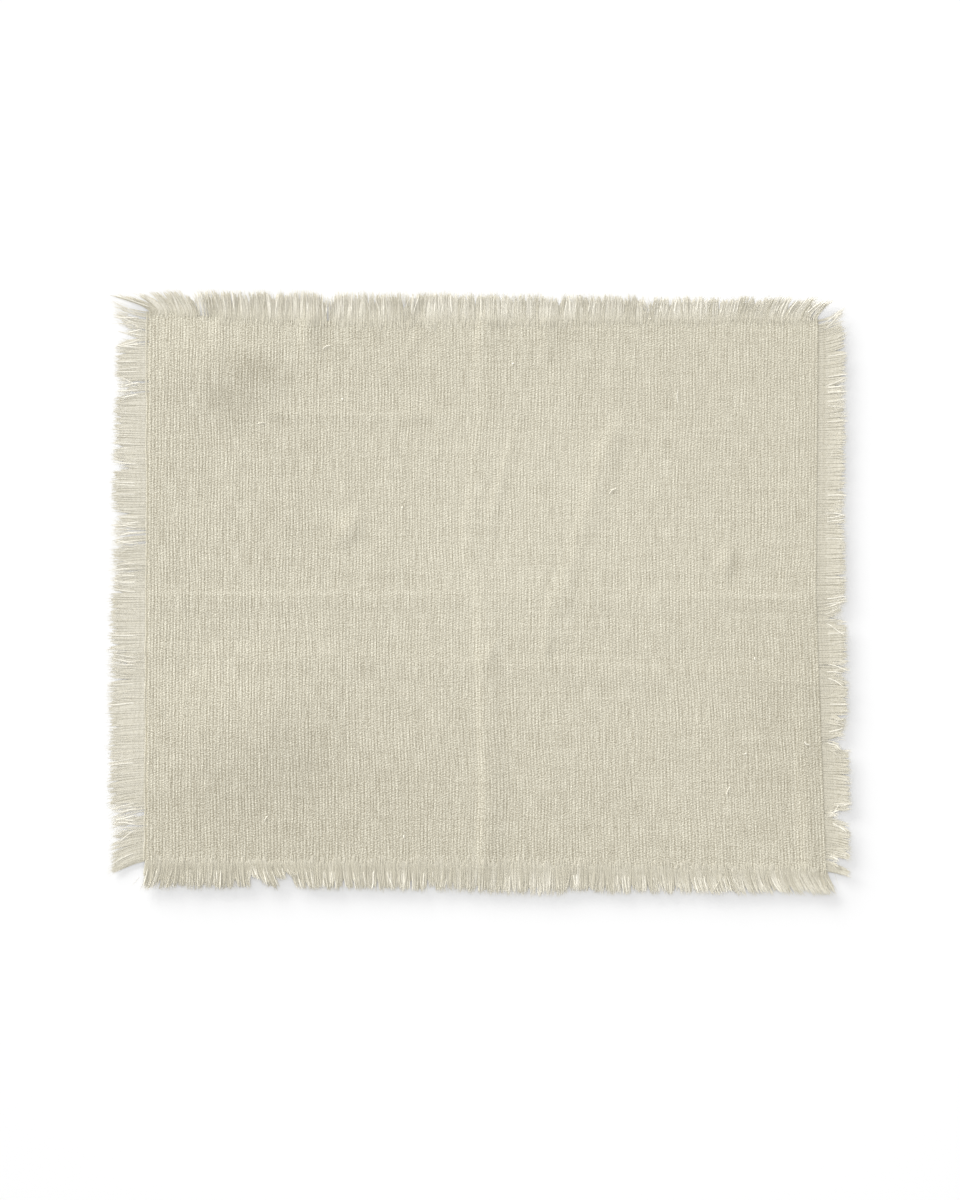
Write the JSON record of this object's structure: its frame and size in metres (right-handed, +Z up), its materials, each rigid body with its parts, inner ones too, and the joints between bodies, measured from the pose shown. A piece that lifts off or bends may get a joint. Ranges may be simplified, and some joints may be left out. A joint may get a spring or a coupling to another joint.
{
  "type": "fringed linen napkin",
  "caption": "Rectangular ribbed linen table napkin lying open and flat, with soft fold creases and a short yarn fringe on all sides.",
  "frame": {"origin": "on the table, under the middle of the whole napkin", "axes": "+X to the right along the long sides, +Y from the near edge to the far edge along the ribs, +Z up out of the table"},
  "size_m": [0.4554, 0.3748, 0.0026],
  "materials": {
    "linen_cloth": "matte ribbed weave",
    "linen_fringe": "matte loose yarn"
  },
  "bodies": {
    "root": {"cloth": "linen_cloth", "fringe_far": "linen_fringe", "fringe_near": "linen_fringe", "fringe_left": "linen_fringe", "fringe_right": "linen_fringe"}
  },
  "joints": []
}
